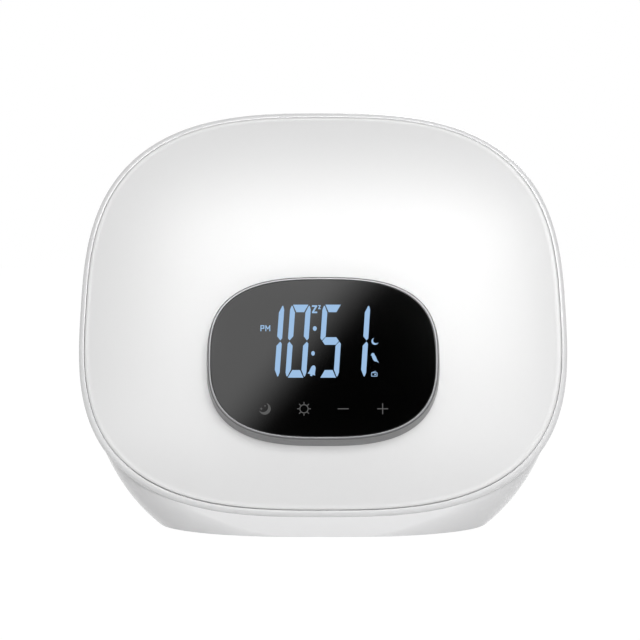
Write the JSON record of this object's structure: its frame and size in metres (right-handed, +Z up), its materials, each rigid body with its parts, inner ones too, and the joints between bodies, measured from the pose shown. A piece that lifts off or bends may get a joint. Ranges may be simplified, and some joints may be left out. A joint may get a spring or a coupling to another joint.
{
  "type": "sunrise alarm clock",
  "caption": "Oval sunrise alarm clock: opal light face leaning back in a glossy white housing, raised oval display, keys, speaker grille, power socket and coin-cell bay on the back.",
  "frame": {"origin": "middle of the resting plane, on the underside of the non-slip pad, below the point where the housing's cross-section is widest", "axes": "+X to the viewer's right, -Y out of the face towards the viewer, +Z up; the face leans back 14 degrees"},
  "size_m": [0.1842, 0.0844, 0.1591],
  "materials": {
    "housing_white": "gloss",
    "diffuser_opal": "satin translucent",
    "bezel_metal": "satin",
    "lens_black": "gloss",
    "rubber_black": "matte",
    "rubber_grey": "matte",
    "inner_white": "matte",
    "inner_black": "matte",
    "clear_guide": "clear",
    "display_glass": "clear",
    "board_green": "satin",
    "board_white": "satin",
    "led_white": "gloss",
    "led_amber": "gloss",
    "screw_steel": "satin",
    "contact_brass": "satin",
    "copper_pad": "satin",
    "chip_black": "matte",
    "capacitor_can": "satin",
    "connector_cream": "matte",
    "ribbon_film": "satin",
    "basket_steel": "satin",
    "magnet_ferrite": "matte",
    "cone_paper": "matte",
    "cell_steel": "satin"
  },
  "bodies": {
    "clock": {"rear_housing": "housing_white", "front_diffuser": "diffuser_opal", "pod_gasket": "rubber_grey", "pod_bezel": "bezel_metal", "cover_lens": "lens_black", "display_tub": "inner_black", "display_board": "board_green", "display_driver": "chip_black", "lcd_glass": "display_glass", "lcd_frame": "inner_black", "elastomer_strip": "rubber_grey", "backlight_guide": "clear_guide", "backlight_leds": "led_white", "touch_electrodes": "copper_pad", "display_board_screws": "screw_steel", "reflector_tray": "inner_white", "led_board": "board_white", "leds_warm_white": "led_white", "leds_amber": "led_amber", "led_board_screws": "screw_steel", "tub_screws": "screw_steel", "diffuser_screws": "screw_steel", "housing_screws": "screw_steel", "speaker_grille": "housing_white", "speaker_gasket": "rubber_black", "speaker_basket": "basket_steel", "speaker_magnet": "magnet_ferrite", "speaker_surround": "rubber_black", "speaker_screws": "screw_steel", "switch_bodies": "chip_black", "main_board": "board_green", "main_board_screws": "screw_steel", "microcontroller": "chip_black", "electrolytic_capacitors": "capacitor_can", "board_connectors": "connector_cream", "dc_jack": "inner_black", "coin_cell": "cell_steel", "cell_contact_minus": "contact_brass", "cell_contact_plus": "contact_brass", "base_plate": "housing_white", "base_screws": "screw_steel", "non_slip_pad": "rubber_grey", "display_ribbon": "ribbon_film"},
    "cone": {"speaker_cone": "cone_paper"},
    "cap": {"cell_cap": "housing_white"},
    "key_clock": {"key_clock": "housing_white", "key_clock_plunger": "inner_black"},
    "key_alarm": {"key_alarm": "housing_white", "key_alarm_plunger": "inner_black"},
    "key_sound": {"key_sound": "housing_white", "key_sound_plunger": "inner_black"},
    "key_radio": {"key_radio": "housing_white", "key_radio_plunger": "inner_black"}
  },
  "joints": [
    {"name": "key_clock_press", "type": "slide", "parent": "clock", "child": "key_clock", "axis": [0, -1, 0], "range_m": [0, 0.0005], "stiffness_N_per_m": 800, "springref_m": -0.0002},
    {"name": "key_alarm_press", "type": "slide", "parent": "clock", "child": "key_alarm", "axis": [0, -1, 0], "range_m": [0, 0.0005], "stiffness_N_per_m": 800, "springref_m": -0.0002},
    {"name": "key_sound_press", "type": "slide", "parent": "clock", "child": "key_sound", "axis": [0, -1, 0], "range_m": [0, 0.0005], "stiffness_N_per_m": 800, "springref_m": -0.0002},
    {"name": "key_radio_press", "type": "slide", "parent": "clock", "child": "key_radio", "axis": [0, -1, 0], "range_m": [0, 0.0005], "stiffness_N_per_m": 800, "springref_m": -0.0002},
    {"name": "speaker_cone_travel", "type": "slide", "parent": "clock", "child": "cone", "axis": [0, 1, 0], "range_m": [-0.0004, 0.0004], "stiffness_N_per_m": 1200, "deforming": ["speaker_surround"]},
    {"name": "cell_cap_turn", "type": "hinge", "parent": "clock", "child": "cap", "pos_m": [-0.018, 0.032, 0.032], "axis": [0, 1, 0], "range_deg": [0, 45]}
  ]
}
